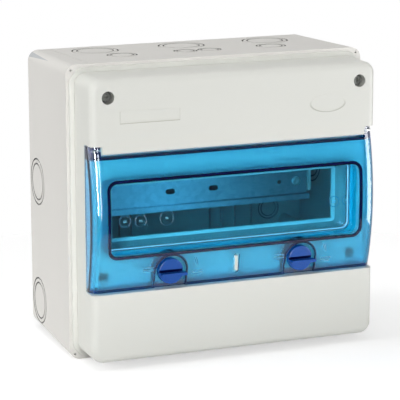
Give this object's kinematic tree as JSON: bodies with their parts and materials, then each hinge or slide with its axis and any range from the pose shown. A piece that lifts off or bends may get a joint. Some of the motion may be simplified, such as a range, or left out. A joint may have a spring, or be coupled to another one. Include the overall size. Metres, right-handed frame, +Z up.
{
  "type": "breaker panel box",
  "caption": "Surface-mounted breaker panel box with a tinted window door, turn knobs, knockouts, a module aperture and a top-hat rail inside.",
  "frame": {"origin": "middle of the footprint at the underside of the base box", "axes": "+Z up, the front faces -Y and the wall is at +Y, +X to the right as seen from the front"},
  "size_m": [0.294, 0.1774, 0.275],
  "materials": {
    "grey_base": "satin moulded plastic",
    "grey_cover": "satin moulded plastic",
    "grey_inner": "satin moulded plastic",
    "grey_screw": "moulded nylon",
    "seal_foam": "foamed seal",
    "seal_rubber": "soft rubber",
    "galvanised": "galvanised sheet steel",
    "zinc_screw": "zinc plated",
    "steel_pin": "drawn wire",
    "brass_bar": "drawn bar",
    "blue_clear": "clear tinted plastic",
    "blue_knob": "opaque moulded plastic"
  },
  "bodies": {
    "enclosure": {"base_box": "grey_base", "cover_gasket": "seal_foam", "front_cover": "grey_cover", "cover_screws": "grey_screw", "cover_screw_seals": "seal_rubber", "door_gasket": "seal_rubber", "din_rail": "galvanised", "rail_screws": "zinc_screw", "rail_support_left": "grey_inner", "rail_support_right": "grey_inner", "terminal_holder": "grey_inner", "neutral_bar": "brass_bar", "earth_bar": "brass_bar", "neutral_bar_screws": "zinc_screw", "earth_bar_screws": "zinc_screw", "wall_screw_caps": "grey_inner", "hinge_pin_left": "steel_pin", "hinge_pin_right": "steel_pin"},
    "door_assembly": {"door": "blue_clear", "knob_seal_left": "seal_rubber", "knob_seal_right": "seal_rubber"},
    "latch_left": {"knob_left": "blue_knob", "latch_cam_left": "blue_knob", "cam_screw_left": "zinc_screw"},
    "latch_right": {"knob_right": "blue_knob", "latch_cam_right": "blue_knob", "cam_screw_right": "zinc_screw"}
  },
  "joints": [
    {"name": "door_swing", "type": "hinge", "parent": "enclosure", "child": "door_assembly", "pos_m": [0, -0.07775, 0.203], "axis": [-1, 0, 0], "range_deg": [0, 95]},
    {"name": "knob_left_turn", "type": "hinge", "parent": "door_assembly", "child": "latch_left", "pos_m": [-0.0645, -0.07725, 0.0878], "axis": [0, -1, 0], "range_deg": [0, 180]},
    {"name": "knob_right_turn", "type": "hinge", "parent": "door_assembly", "child": "latch_right", "pos_m": [0.0645, -0.07725, 0.0878], "axis": [0, -1, 0], "range_deg": [0, 180]}
  ]
}
